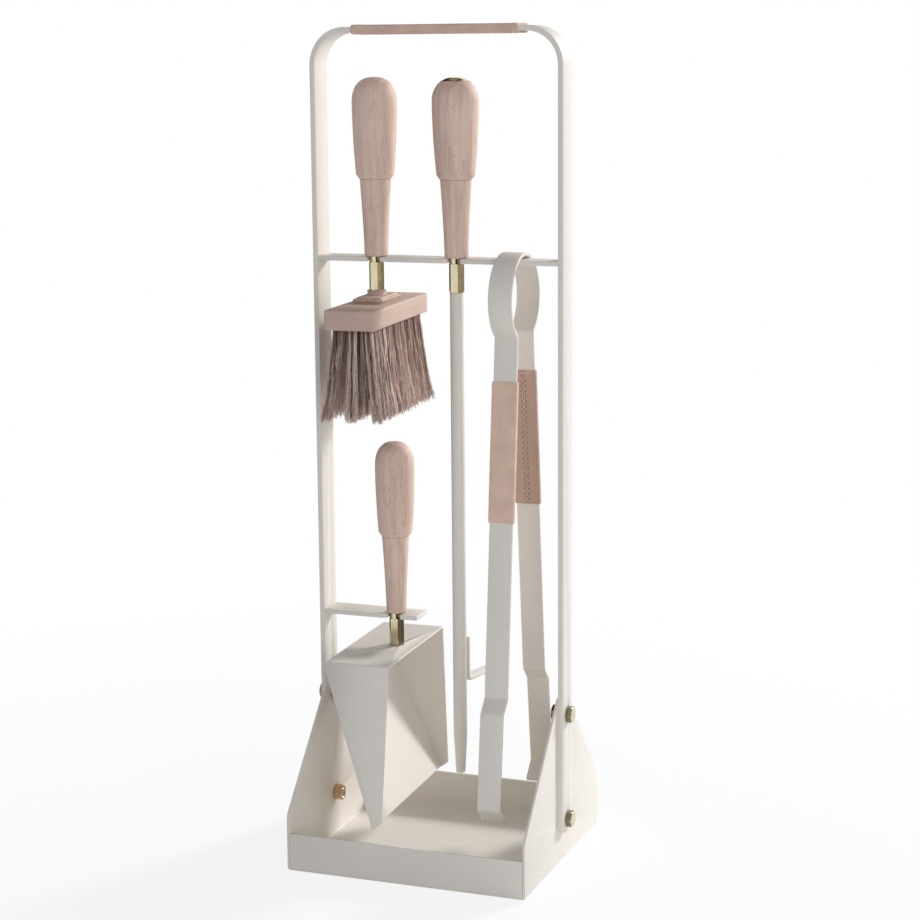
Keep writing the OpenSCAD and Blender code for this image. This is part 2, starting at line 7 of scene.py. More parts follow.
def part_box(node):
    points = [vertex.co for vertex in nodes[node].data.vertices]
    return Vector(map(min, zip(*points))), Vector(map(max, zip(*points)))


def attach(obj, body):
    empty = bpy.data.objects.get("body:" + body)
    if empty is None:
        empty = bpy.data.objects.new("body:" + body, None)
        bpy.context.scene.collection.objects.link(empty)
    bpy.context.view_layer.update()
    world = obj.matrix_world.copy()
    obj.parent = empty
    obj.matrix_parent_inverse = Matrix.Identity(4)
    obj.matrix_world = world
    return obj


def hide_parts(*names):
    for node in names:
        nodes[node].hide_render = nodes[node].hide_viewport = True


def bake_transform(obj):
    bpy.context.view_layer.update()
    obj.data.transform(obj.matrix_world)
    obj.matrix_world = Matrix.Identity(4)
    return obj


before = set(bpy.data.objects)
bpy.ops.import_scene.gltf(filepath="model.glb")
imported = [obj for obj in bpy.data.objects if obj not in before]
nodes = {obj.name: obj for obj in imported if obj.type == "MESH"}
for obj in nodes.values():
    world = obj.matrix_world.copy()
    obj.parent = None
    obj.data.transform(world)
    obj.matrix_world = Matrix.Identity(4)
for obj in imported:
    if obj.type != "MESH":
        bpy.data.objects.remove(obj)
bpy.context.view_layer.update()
quarter = pi / 2
shift, spin = Matrix.Translation, Matrix.Rotation
print("stage: frame loaded")


# Adds a shader node; an input that is given a socket is linked, any other is set
def node(tree, kind, sockets=None, **settings):
    made = tree.nodes.new("ShaderNode" + kind)
    for key, value in settings.items():
        setattr(made, key, value)
    for key, value in (sockets or {}).items():
        if isinstance(value, bpy.types.NodeSocket):
            tree.links.new(value, made.inputs[key])
        else:
            made.inputs[key].default_value = value
    return made


def calc(tree, operation, first, second=0.0, third=0.0):
    return node(tree, "Math", {0: first, 1: second, 2: third}, operation=operation).outputs[0]


# First times second, plus a third
def times(tree, first, second, plus=0.0):
    return calc(tree, "MULTIPLY_ADD", first, second, plus)


def spread(tree, value, low, high, toLow=0.0, toHigh=1.0):
    sockets = {"Value": value, "From Min": low, "From Max": high, "To Min": toLow, "To Max": toHigh}
    return node(tree, "MapRange", sockets).outputs[0]


def mixColour(tree, share, first, second, way="MIX"):
    made = node(tree, "Mix", {0: share, 6: first, 7: second}, data_type="RGBA", blend_type=way)
    return made.outputs[2]


def noise(tree, vector, scale, detail=2.0, rough=0.5, output="Fac"):
    sockets = {"Vector": vector, "Scale": scale, "Detail": detail, "Roughness": rough}
    return node(tree, "TexNoise", sockets).outputs[output]


def stretched(tree, vector, scale, turn=(0, 0, 0)):
    return node(tree, "Mapping", {"Vector": vector, "Scale": scale, "Rotation": turn}).outputs[0]


# The vector pushed about by up to about half the distance given
def wandering(tree, vector, scale, detail, distance):
    drift = noise(tree, vector, scale, detail, output="Color")
    drift = node(tree, "VectorMath", {0: drift, 3: distance}, operation="SCALE").outputs[0]
    return node(tree, "VectorMath", {0: vector, 1: drift}, operation="ADD").outputs[0]


def localPlace(tree):
    return node(tree, "TexCoord").outputs["Object"]


def bump(tree, height, depth):
    return node(tree, "Bump", {"Height": height, "Distance": depth}).outputs[0]


# Group with a vector and the inputs named, which puts out a colour, a height and a roughness
def newGroup(name, inputs):
    group = bpy.data.node_groups.new(name, "ShaderNodeTree")
    for label, value in {"Vector": (0, 0, 0), **inputs}.items():
        kind = "Float" if isinstance(value, float) else "Color" if len(value) == 4 else "Vector"
        socket = group.interface.new_socket(label, in_out="INPUT", socket_type="NodeSocket" + kind)
        socket.default_value = value
    for label, kind in (("Colour", "Color"), ("Height", "Float"), ("Roughness", "Float")):
        group.interface.new_socket(label, in_out="OUTPUT", socket_type="NodeSocket" + kind)
    return group, group.nodes.new("NodeGroupInput").outputs, group.nodes.new("NodeGroupOutput").inputs


def closeGroup(tree, out, *found):
    for key, socket in zip(("Colour", "Height", "Roughness"), found):
        tree.links.new(socket, out[key])
    return tree


# Fine orange peel of a baked powder coat, with faint drifts of tone
def makePowderGrain():
    tree, put, out = newGroup("powderGrain", {"Colour": (1, 1, 1, 1), "Grain": 900.0, "Mottle": 0.05})
    peel = noise(tree, put["Vector"], put["Grain"], 2.0, 0.55)
    drift = noise(tree, put["Vector"], 35.0, 3.0, 0.6)
    speck = noise(tree, put["Vector"], times(tree, put["Grain"], 2.6), 1.0)
    shade = times(tree, calc(tree, "SUBTRACT", 0.5, drift), put["Mottle"])
    shade = times(tree, calc(tree, "SUBTRACT", speck, 0.5), put["Mottle"], shade)
    level = calc(tree, "ADD", 1.0, shade)
    grey = node(tree, "CombineColor", {0: level, 1: level, 2: level}).outputs[0]
    colour = mixColour(tree, 1.0, put["Colour"], grey, "MULTIPLY")
    height = times(tree, speck, 0.3, peel)
    return closeGroup(tree, out, colour, height, spread(tree, drift, 0.3, 0.7, 0.46, 0.58))


# how much each part of the grain darkens the wood
woodMix = {"rings": 0.22, "fibres": 0.38, "streaks": 0.42, "clouds": 0.34, "everywhere": 0.46, "flecks": 0.8}


# Fibres, soft streaks and short flecks, with the grain along Z of the vector
def makeWoodGrain():
    inputs = {
        "Light": (0.7, 0.5, 0.4, 1), "Dark": (0.5, 0.3, 0.2, 1), "Fleck": (0.3, 0.2, 0.1, 1),
        "Streak Size": 0.0035, "Contrast": 1.0, "Pith": (0.05, 0.03, 0.0),
    }
    tree, put, out = newGroup("woodGrain", inputs)
    moved = node(tree, "VectorMath", {0: put["Vector"], 1: put["Pith"]}, operation="ADD").outputs[0]
    bent = wandering(tree, moved, 28.0, 1.0, 0.004)
    slow = noise(tree, stretched(tree, bent, (1, 1, 0.1)), 40.0, 1.0)
    reach = node(tree, "VectorMath", {0: stretched(tree, bent, (1, 1, 0))}, operation="LENGTH").outputs["Value"]
    count = times(tree, slow, 3.5, calc(tree, "DIVIDE", reach, put["Streak Size"]))
    ring = calc(tree, "POWER", calc(tree, "PINGPONG", count, 1.0), 2.0)
    fibre = noise(tree, stretched(tree, bent, (1, 1, 0.02)), 1300.0, 3.0, 0.6)
    broad = noise(tree, stretched(tree, bent, (1, 1, 0.05)), 300.0, 2.0, 0.55)
    cloud = noise(tree, stretched(tree, moved, (1, 1, 0.35)), 42.0, 2.0)
    crowd = spread(tree, noise(tree, moved, 55.0, 1.0), 0.48, 0.62)
    dash = spread(tree, noise(tree, stretched(tree, bent, (1, 1, 0.2)), 1300.0, 1.0), 0.63, 0.71)
    dash = times(tree, dash, crowd)
    share = times(tree, calc(tree, "SUBTRACT", ring, 0.33), woodMix["rings"])
    for mask, key in ((fibre, "fibres"), (broad, "streaks"), (cloud, "clouds")):
        share = times(tree, spread(tree, mask, 0.3, 0.7, -0.5, 0.5), woodMix[key], share)
    share = times(tree, share, put["Contrast"], woodMix["everywhere"])
    body = mixColour(tree, share, put["Light"], put["Dark"])
    colour = mixColour(tree, times(tree, dash, woodMix["flecks"]), body, put["Fleck"])
    height = times(tree, dash, -1.4, fibre)
    return closeGroup(tree, out, colour, height, spread(tree, fibre, 0.3, 0.7, 0.55, 0.68))


# how much the painted shade in the creases, the drift of tone, and the painted shade in the stitch holes with the
# stain along the joint darken the leather
leatherMix = {"creaseShade": 0.16, "drift": 0.66, "holeShadeAndStain": 0.72}


# Pebbled skin with fine creases that carry painted shade, and a slow drift of tone
def makeLeatherGrain():
    inputs = {
        "Light": (0.6, 0.4, 0.3, 1), "Dark": (0.4, 0.25, 0.2, 1), "Deep": (0.1, 0.06, 0.04, 1),
        "Hole Shade And Stain": 0.0, "Pebble": 1500.0,
    }
    tree, put, out = newGroup("leatherGrain", inputs)
    place = wandering(tree, put["Vector"], 260.0, 2.0, 0.0016)
    cell = node(tree, "TexVoronoi", {"Vector": place, "Scale": put["Pebble"]}, feature="DISTANCE_TO_EDGE").outputs[0]
    crease = spread(tree, cell, 0.0, 0.22)
    drift = noise(tree, put["Vector"], 55.0, 4.0, 0.6)
    pore = noise(tree, put["Vector"], 2600.0, 1.0)
    share = times(tree, spread(tree, drift, 0.32, 0.7), leatherMix["drift"])
    # painted shade in the creases
    share = times(tree, calc(tree, "SUBTRACT", 1.0, crease), leatherMix["creaseShade"], share)
    body = mixColour(tree, share, put["Light"], put["Dark"])
    colour = mixColour(tree, times(tree, put["Hole Shade And Stain"], leatherMix["holeShadeAndStain"]), body, put["Deep"])
    height = times(tree, pore, 0.3, crease)
    return closeGroup(tree, out, colour, height, spread(tree, drift, 0.3, 0.7, 0.5, 0.64))


# Metal with soft tarnish, faint scuffs, and a dark patina and painted shade where its share says so
def makeMetalWear():
    inputs = {
        "Bright": (0.8, 0.7, 0.4, 1), "Dull": (0.5, 0.4, 0.2, 1), "Patina And Shade": (0.1, 0.1, 0.1, 1),
        "Patina And Shade Share": 0.0, "Lowest": 0.2, "Highest": 0.4,
    }
    tree, put, out = newGroup("metalWear", inputs)
    patch = noise(tree, put["Vector"], 160.0, 4.0, 0.65)
    scuff = noise(tree, stretched(tree, put["Vector"], (1, 1, 0.12), (0.5, 0.3, 0)), 3000.0, 2.0)
    share = spread(tree, patch, 0.35, 0.75, 0.0, 0.8)
    metal = mixColour(tree, share, put["Bright"], put["Dull"])
    colour = mixColour(tree, put["Patina And Shade Share"], metal, put["Patina And Shade"])
    mixed = times(tree, calc(tree, "SUBTRACT", scuff, 0.5), 0.8, share)
    rough = spread(tree, mixed, 0.0, 1.0, put["Lowest"], put["Highest"])
    return closeGroup(tree, out, colour, scuff, rough)


powderGrain = makePowderGrain()
woodGrain = makeWoodGrain()
leatherGrain = makeLeatherGrain()
metalWear = makeMetalWear()

finishes = {
    "paint": (0.805, 0.757, 0.685),
    "beechLight": (0.795, 0.598, 0.495), "beechDark": (0.625, 0.45, 0.362), "beechFleck": (0.4, 0.26, 0.19),
    "blockLight": (0.64, 0.472, 0.388), "blockDark": (0.505, 0.36, 0.288),
    "tanLight": (0.72, 0.515, 0.41), "tanDark": (0.54, 0.375, 0.295), "tanDeep": (0.11, 0.065, 0.045),
    "brassBright": (0.72, 0.64, 0.43), "brassDull": (0.6, 0.515, 0.31),
    "bronzeBright": (0.74, 0.52, 0.34), "bronzeDull": (0.56, 0.37, 0.225),
    "boltBright": (0.74, 0.68, 0.48), "boltDull": (0.58, 0.52, 0.345),
    # dark colour for patina and for the painted shade on marked brass faces
    "patinaAndShade": (0.12, 0.105, 0.066),
    "steelBright": (0.56, 0.55, 0.53), "steelDull": (0.36, 0.35, 0.33),
    "thread": (0.9, 0.69, 0.56), "threadShade": (0.7, 0.48, 0.36),
    "hairStreak": (0.385, 0.265, 0.21),
}
# colours of the hairs from the darkest tone, 0, to the palest, 1
hairColours = {
    0: (0.08, 0.058, 0.048),
    0.2: (0.33, 0.228, 0.182),
    0.5: (0.78, 0.555, 0.455),
    0.8: (0.96, 0.745, 0.64),
    1: (0.96, 0.82, 0.74),
}
# depth of each material's relief, in metres
relief = {"paint": 0.00009, "beech": 0.00006, "leather": 0.00005, "metal": 0.000003, "thread": 0.0001}


def tint(name, level=1.0):
    return (*(level * part for part in finishes[name]), 1.0)


def newMaterial(name):
    made = bpy.data.materials.new(name)
    made.use_nodes = True
    tree = made.node_tree
    return made, tree, tree.nodes["Principled BSDF"].inputs


# Takes a material's colour, roughness and relief from one group
def dress(tree, shader, group, depth, sockets):
    found = node(tree, "Group", sockets, node_tree=group).outputs
    tree.links.new(found["Colour"], shader["Base Color"])
    tree.links.new(found["Roughness"], shader["Roughness"])
    tree.links.new(bump(tree, found["Height"], depth), shader["Normal"])


# Value that the mesh carries at each point or face
def carried(tree, name):
    return node(tree, "Attribute", attribute_name=name).outputs["Fac"]


def makePaint():
    made, tree, shader = newMaterial("ivoryPowderCoat")
    dress(tree, shader, powderGrain, relief["paint"], {"Vector": localPlace(tree), "Colour": tint("paint")})
    return made


# Pale beech, whose grain runs along the piece's own Z after the turn
def makeBeech(name, pith, contrast, turn=(0, 0, 0), tone="beech"):
    made, tree, shader = newMaterial(name)
    sockets = {
        "Vector": stretched(tree, localPlace(tree), (1, 1, 1), turn), "Light": tint(tone + "Light"),
        "Dark": tint(tone + "Dark"), "Fleck": tint("beechFleck"), "Contrast": contrast, "Pith": pith,
    }
    dress(tree, shader, woodGrain, relief["beech"], sockets)
    shader["Specular IOR Level"].default_value = 0.35
    return made


# Tan leather, darker with painted shade in the stitch holes and with a stain along the joint
def makeLeather(name, level):
    made, tree, shader = newMaterial(name)
    sockets = {"Light": tint("tanLight", level), "Dark": tint("tanDark", level), "Deep": tint("tanDeep")}
    sockets.update({"Vector": localPlace(tree), "Hole Shade And Stain": carried(tree, "holeShadeAndStain")})
    dress(tree, shader, leatherGrain, relief["leather"], sockets)
    return made


# Metal, darkened with painted shade and reflection, and on the bolts some patina, on the faces of the ferrule, bolts
# and nuts that are marked so
def makeMetal(name, tone, lowest, highest):
    made, tree, shader = newMaterial(name)
    sockets = {"Bright": tint(tone + "Bright"), "Dull": tint(tone + "Dull"), "Lowest": lowest, "Highest": highest}
    sockets.update({"Vector": localPlace(tree), "Patina And Shade Share": carried(tree, "patinaAndShade"), "Patina And Shade": tint("patinaAndShade")})
    dress(tree, shader, metalWear, relief["metal"], sockets)
    shader["Metallic"].default_value = 1.0
    return made


def makeThread():
    made, tree, shader = newMaterial("waxedThread")
    twist = node(tree, "TexWave", {"Vector": localPlace(tree), "Scale": 900.0, "Distortion": 2.0}).outputs["Fac"]
    tree.links.new(mixColour(tree, twist, tint("thread"), tint("threadShade")), shader["Base Color"])
    tree.links.new(bump(tree, twist, relief["thread"]), shader["Normal"])
    shader["Roughness"].default_value = 0.6
    return made


# Every hair carries its own tone, from nearly black to a pinkish tan
def makeHair():
    made, tree, shader = newMaterial("horsehair")
    ramp = node(tree, "ValToRGB", {0: carried(tree, "tone")})
    stops = ramp.color_ramp.elements
    for place, colour in hairColours.items():
        stop = stops[0] if place == 0 else stops[-1] if place == 1 else stops.new(place)
        stop.color = (*colour, 1)
    streak = noise(tree, stretched(tree, localPlace(tree), (1, 1, 0.05)), 1800.0, 2.0)
    share = spread(tree, streak, 0.3, 0.7, 0.0, 0.4)
    tree.links.new(mixColour(tree, share, ramp.outputs[0], tint("hairStreak")), shader["Base Color"])
    shader["Roughness"].default_value = 0.42
    return made


paint = makePaint()
# place of the tree's middle beside the piece, and strength of the grain
beech = {
    "brush": makeBeech("brushHandleBeech", (0.034, 0.02, 0.0), 1.7),
    "poker": makeBeech("pokerHandleBeech", (-0.028, 0.036, 0.31), 1.9),
    "dustpan": makeBeech("dustpanHandleBeech", (0.041, -0.012, 0.77), 1.7),
    "block": makeBeech("brushBlockBeech", (0.022, 0.045, 0.15), 0.7, (quarter, 0, 0), "block"),
}
# how light each leather is against the tan above
leatherLevels = {"grip": 1.04, "front": 1.2, "rear": 0.83}
leathers = {key: makeLeather(key + "Leather", level) for key, level in leatherLevels.items()}
brass = makeMetal("agedBrass", "brass", 0.14, 0.24)
boltBrass = makeMetal("boltBrass", "bolt", 0.2, 0.3)
bronze = makeMetal("warmBronze", "bronze", 0.16, 0.28)
steel = makeMetal("zincSteel", "steel", 0.26, 0.42)
thread = makeThread()
hair = makeHair()
print("stage: materials made")


class Shape:
    def __init__(self):
        self.points = []
        self.faces = []

    # Faces between two rings of the same count; a ring of one point closes in a fan
    def join(self, low, high):
        for i in range(max(len(low), len(high))):
            face = [low[i % len(low)], low[(i + 1) % len(low)], high[(i + 1) % len(high)], high[i % len(high)]]
            self.faces.append(tuple(dict.fromkeys(face)))

    # Skin over a list of rings of points, closed at both ends or back onto the first ring
    def skin(self, rings, looped=False):
        made = []
        for points in rings:
            made.append(range(len(self.points), len(self.points) + len(points)))
            self.points.extend(points)
        for low, high in zip(made, made[1:]):
            self.join(low, high)
        if looped:
            self.join(made[-1], made[0])
            return
        if len(made[0]) > 1:
            self.faces.append(tuple(reversed(made[0])))
        if len(made[-1]) > 1:
            self.faces.append(tuple(made[-1]))

    def add(self, other, place=None):
        first = len(self.points)
        self.points.extend((place @ p) if place else p for p in other.points)
        self.faces.extend(tuple(i + first for i in face) for face in other.faces)


def addObject(name, data):
    made = bpy.data.objects.new(name, data)
    bpy.context.scene.collection.objects.link(made)
    return made


def makePiece(name, shape, look, sharp=38.0):
    mesh = bpy.data.meshes.new(name)
    mesh.from_pydata([tuple(p) for p in shape.points], [], shape.faces)
    mesh.shade_smooth()
    mesh.set_sharp_from_angle(angle=radians(sharp))
    mesh.materials.append(look)
    return addObject(name, mesh)


def coat(mesh, look):
    mesh.materials.clear()
    mesh.materials.append(look)


# Gives the mesh a value for each point or face, which its material reads
def carry(piece, name, domain, values):
    piece.data.attributes.new(name, "FLOAT", domain).data.foreach_set("value", values)


# Sets a piece in place, on its body, for the solids that it stands for
def fit(piece, body, slotName, *stands, place=None):
    if place:
        piece.matrix_world = place
    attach(piece, body)
    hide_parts(*stands)
    return piece


def around(count):
    return [2 * pi * i / count for i in range(count)]


def polar(radius, a, z=0.0):
    return Vector((radius * cos(a), radius * sin(a), z))


def circle(radius, z, count):
    if radius < 1e-6:
        return [Vector((0, 0, z))]
    return [polar(radius, a, z) for a in around(count)]


def skinned(rings, looped=False):
    shape = Shape()
    shape.skin(rings, looped)
    return shape


def turned(profile, count=72, looped=False):
    return skinned([circle(r, z, count) for r, z in profile], looped)


# Path in a plane whose inner corners are rounded by the radii given for them
def roundedPath(points, radii, steps):
    made = [points[0]]
    for i in range(1, len(points) - 1):
        before, corner, after = (Vector(points[k]) for k in (i - 1, i, i + 1))
        radius = radii.get(i, 0)
        u, v = (before - corner).normalized(), (after - corner).normalized()
        half = u.angle(v) / 2
        if radius <= 0 or half > radians(89):
            made.append(tuple(corner))
            continue
        cut = radius / tan(half)
        centre = corner + (u + v).normalized() * radius / sin(half)
        start, end = corner + u * cut - centre, corner + v * cut - centre
        turn = atan2(start.x * end.y - start.y * end.x, start.dot(end))
        for k in range(steps + 1):
            a = turn * k / steps
            c, s = cos(a), sin(a)
            made.append((centre.x + start.x * c - start.y * s, centre.y + start.x * s + start.y * c))
    made.append(points[-1])
    return made


def roundedBox(halfX, halfY, radius, steps=5):
    points = []
    for k, (sx, sy) in enumerate(((1, 1), (-1, 1), (-1, -1), (1, -1))):
        for i in range(steps + 1):
            a = quarter * (k + i / steps)
            x = sx * (halfX - radius) + radius * cos(a)
            points.append((x, sy * (halfY - radius) + radius * sin(a)))
    return points


def atHeight(outline, z):
    return [Vector((x, y, z)) for x, y in outline]


# radii at the step, below it and at the heel, shape of the dome, and distance from the crown to the step
plainHandle = {"upper": 0.0164, "lower": 0.0134, "heel": 0.0102, "dome": 0.022, "power": 2.4, "stepDown": 0.0817}
handles = {
    "count": 128,
    "heelEdge": 0.0024, "heelCurve": 1.4,
    "stepHeight": 0.0042, "stepSoft": 0.0006,
    "grooveDeep": 0.0004, "grooveHigh": 0.0005,
    "gripCurve": 1.8,
    "brush": {**plainHandle, "grip": 0.0192},
    "poker": {**plainHandle, "grip": 0.0198, "dome": 0.02, "power": 2.1},
    "dustpan": {**plainHandle, "grip": 0.0172, "upper": 0.0149, "lower": 0.012, "heel": 0.0088, "stepDown": 0.0796},
}
mouthpiece = {
    "rim": 0.0122, "rimEdge": 0.0002, "rimHigh": 0.0003, "stem": 0.006, "dish": 0.0042, "dishFoot": 0.0036,
    "bore": 0.0019, "boreLip": 0.0004, "depths": (0.0005, 0.0016, 0.0024),
}


# How far below the crown the dome reaches a radius
def domeDrop(size, radius):
    return size["dome"] * (1 - (1 - (radius / size["grip"]) ** size["power"]) ** (1 / size["power"]))


# Radii and heights from the heel up; flat is the radius at which the dome is cut level
def handleProfile(size, length, flat):
    stepLow = length - size["stepDown"] - handles["stepHeight"]
    wide = length - size["dome"]
    edge, deep, high = handles["heelEdge"], handles["grooveDeep"], handles["grooveHigh"]
    grip, power = size["grip"], size["power"]
    points = [(0, 0), (size["heel"], 0)]
    for i in range(1, 13):
        u = i / 12
        radius = size["heel"] + (size["lower"] - size["heel"]) * u ** handles["heelCurve"]
        points.append((radius, edge + (stepLow - edge) * u))
    inner = size["lower"] - deep
    points += [(inner, stepLow + high * 0.3), (inner, stepLow + high), (size["lower"] + deep, stepLow + high)]
    stepFirst = len(points) - 1
    top = stepLow + handles["stepHeight"]
    for i in range(25):
        u = i / 24
        points.append((grip - (grip - size["upper"]) * (1 - u) ** handles["gripCurve"], top + (wide - top) * u))
    last = 1 - domeDrop(size, flat) / size["dome"]
    for i in range(1, 29):
        u = last * sin(quarter * i / 28)
        points.append((grip * max(1 - u**power, 0) ** (1 / power), wide + size["dome"] * u))
    if flat:
        points.append((0, points[-1][1]))
    return roundedPath(points, {1: edge, stepFirst + 1: handles["stepSoft"]}, 5)


# Height of a round solid, and the place of the middle of its bottom end
def axisOf(name):
    low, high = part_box(name)
    return high[2] - low[2], shift(((low[0] + high[0]) / 2, (low[1] + high[1]) / 2, low[2]))


def makeHandle(key, solid, flat=0.0, rise=0.0):
    tall, place = axisOf(solid)
    shape = turned(handleProfile(handles[key], tall + rise, flat), handles["count"])
    fit(makePiece(key + "Handle", shape, beech[key], 50.0), key, "pale_beech", solid, place=place)


makeHandle("brush", "brush_handle")
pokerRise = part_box("poker_mouthpiece")[1][2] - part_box("poker_handle")[1][2]
makeHandle("poker", "poker_handle", mouthpiece["rim"], pokerRise)
makeHandle("dustpan", "pan_handle")
print("stage: handles turned")

brassWork = {
    "ferruleFlats": 0.012, "ferruleEdge": 0.0006, "ferruleShade": 0.75,
    "neckRadius": 0.0059, "neckHeight": 0.0046,
    "chamferFace": 0.49, "chamferSlope": 0.5,
    "headFlats": 0.013, "headHeight": 0.0053, "headPatinaAndShade": 0.9,
    "nutFlats": 0.013, "nutHeight": 0.0068, "nutShade": 0.85,
    "nutGap": 0.0002, "nutLip": 0.0009, "nutLipDeep": 0.0006,
    "boltRadius": 0.004, "boltTail": 0.0004, "boltEdge": 0.0007,
    "threadPitch": 0.00125, "threadDeep": 0.0005, "threadLevels": (0.0003, 0.0007, 0.0011),
}


# Hexagonal ring with slightly rounded corners, cut to a circle where cap is given
def hexRing(flats, z, cap=1.0, turn=0.0):
    points = []
    for facet in range(6):
        for offset in (-30, -28.5, -20, -10, 0, 10, 20, 28.5):
            bend = radians(max(-28.5, offset))
            radius = min(flats / 2 / cos(bend), cap)
            points.append(polar(radius, radians(facet * 60 + offset) + turn, z))
    return points


# Circle whose points match the hexagonal ring's, so that the two join without a twist
def roundRing(radius, z, turn=0.0):
    return [Vector((p.x * radius, p.y * radius, z)) for p in (q.normalized() for q in hexRing(1.0, 0, 1.0, turn))]


# Chamfered end of a hexagon: a flat circle at z that grows to the full hexagon
def chamfer(flats, z, away, turn=0.0):
    corner = flats / sqrt(3)
    face = flats * brassWork["chamferFace"]
    caps = [face + (corner - face) * share for share in (0.0, 0.25, 0.5, 0.75, 1.0)]
    return [hexRing(flats, z + away * (cap - face) * brassWork["chamferSlope"], cap, turn) for cap in caps]


def makeFerrule(body, solid):
    tall, place = axisOf(solid)
    flats, edge, shoulder = brassWork["ferruleFlats"], brassWork["ferruleEdge"], tall - brassWork["neckHeight"]
    turn = radians(30)  # the facets face along Y, as the solid's do
    cut = flats / sqrt(3) - edge
    levels = [(0, cut - edge), (edge * 0.4, cut), (edge * 1.4, 1)]
    levels += [(shoulder - edge * 1.2, 1), (shoulder - edge * 0.3, cut), (shoulder, cut - edge)]
    rings = [hexRing(flats, z, cap, turn) for z, cap in levels]
    rings += [roundRing(brassWork["neckRadius"], z, turn) for z in (shoulder, tall)]
    return fit(makePiece(body + "Ferrule", skinned(rings), brass, 20.0), body, "brass", solid, place=place)


# Patina and painted shade of each face, from 0 for clean metal to 1
def darken(piece, amount):
    carry(piece, "patinaAndShade", "FACE", [float(amount(face)) for face in piece.data.polygons])


makeFerrule("brush", "brush_ferrule")
makeFerrule("poker", "poker_ferrule")
# painted shade and reflection: the dustpan ferrule's facets that face to the sides are darkened, while its front and
# back facets stay clean
darken(makeFerrule("dustpan", "pan_ferrule"), lambda face: brassWork["ferruleShade"] * (abs(face.normal.x) > 0.6))


# Brass disc with an air hole, whose rim carries on the handle's dome
def makeMouthpiece():
    top, place = axisOf("poker_mouthpiece")
    rim, edge, stem, dish, bore = (mouthpiece[key] for key in ("rim", "rimEdge", "stem", "dish", "bore"))
    seat = top - domeDrop(handles["poker"], rim)
    profile = [(bore, 0), (stem, 0), (stem, seat), (rim, seat), (rim + edge, seat + mouthpiece["rimHigh"])]
    for i in range(1, 8):
        r = rim - (rim - dish) * i / 7
        profile.append((r, top - domeDrop(handles["poker"], r)))
    inner = (mouthpiece["dishFoot"], bore + mouthpiece["boreLip"], bore)
    profile += [(r, top - depth) for r, depth in zip(inner, mouthpiece["depths"])]
    piece = makePiece("pokerMouthpiece", turned(profile, 72, True), brass)
    fit(piece, "poker", "brass", "poker_mouthpiece", place=place)


makeMouthpiece()


# Bolts stand with a corner up, nuts with a flat up; +Z runs from the frame to their free end
def makeHead():
    flats, head = brassWork["headFlats"], brassWork["headHeight"]
    low = [hexRing(flats, 0, flats * 0.55), hexRing(flats, 0.0003)]
    middle = roundRing(flats * brassWork["chamferFace"] * 0.1, head)
    return skinned(low + chamfer(flats, head, -1)[::-1] + [middle])


def makeNut():
    flats, tall, gap = brassWork["nutFlats"], brassWork["nutHeight"], brassWork["nutGap"]
    turn = radians(30)
    bore = ((brassWork["nutLip"], tall), (gap, tall - brassWork["nutLipDeep"]), (gap, 0))
    inner = [roundRing(brassWork["boltRadius"] + grow, z, turn) for grow, z in bore]
    return skinned(inner + chamfer(flats, 0.0, 1, turn) + chamfer(flats, tall, -1, turn)[::-1], True)


def makeShank():
    r, tall = brassWork["boltRadius"], brassWork["nutHeight"] + brassWork["boltTail"]
    edge, deep, levels = brassWork["boltEdge"], brassWork["threadDeep"], brassWork["threadLevels"]
    profile = [(0, 0), (r, 0)]
    z = 0.0
    while z < tall - edge - 0.0009:
        profile += [(radius, z + level) for radius, level in zip((r, r - deep, r), levels)]
        z += brassWork["threadPitch"]
    profile += [(r, tall - edge), (r - edge, tall), (0, tall)]
    return turned(profile, 48)


def makeFastenings():
    low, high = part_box("frame_bolts")
    corner = brassWork["headFlats"] / sqrt(3)
    reach = high[0] - brassWork["headHeight"]
    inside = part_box("frame_nuts")[1][0]
    bolts, nuts = Shape(), Shape()
    outward, inward = spin(quarter, 4, "Y"), spin(-quarter, 4, "Y")
    for side in (0, pi):
        for z in (low[2] + corner, high[2] - corner):
            turn = spin(side, 4, "Z") @ shift((0, 0, z))
            bolts.add(makeHead(), turn @ shift((reach, 0, 0)) @ outward)
            bolts.add(makeShank(), turn @ shift((inside, 0, 0)) @ inward)
            nuts.add(makeNut(), turn @ shift((inside, 0, 0)) @ inward)

    # the heads' sides carry painted shade and reflection with some patina, more where they face up or down than where
    # they face forward
    def headPatinaAndShade(face):
        if abs(face.normal.x) >= 0.3 or abs(face.center.x) <= inside:
            return 0
        return brassWork["headPatinaAndShade"] * (1 - 0.45 * abs(face.normal.y) ** 8)

    heads = fit(makePiece("frameBolts", bolts, boltBrass, 20.0), "stand", "brass", "frame_bolts")
    darken(heads, headPatinaAndShade)
    rings = fit(makePiece("frameNuts", nuts, bronze, 20.0), "stand", "brass", "frame_nuts")
    # painted shade: the nuts on the right-hand plate are darkened
    darken(rings, lambda face: brassWork["nutShade"] * (face.center.x > 0))


makeFastenings()
print("stage: brass made")

brush = {
    "turn": 4.0,
    "width": 0.045, "length": 0.148, "height": 0.0175, "edge": 0.0023,
    "plinth": (0.0135, 0.026), "plinthCorner": 0.0012,
    "collarFoot": 0.0101, "collarNeck": 0.008, "collarBead": 0.0085,
    "rows": 9, "columns": 3, "rootInset": 0.0045,
    "tuftRadius": 0.0043, "tuftFan": 0.0066, "splay": (1.66, 1.095),
    "strands": 36, "hairsPerStrand": 4,
    "hairRadius": 0.00027, "hairSizes": (0.7, 1.25), "hairTaper": 0.4,
    "hairBeyond": 0.0014, "hairStep": 0.0012,
    "strandWave": 0.0007, "hairWave": 0.0006,
    "raggedEnd": 0.004, "seed": 41,
}
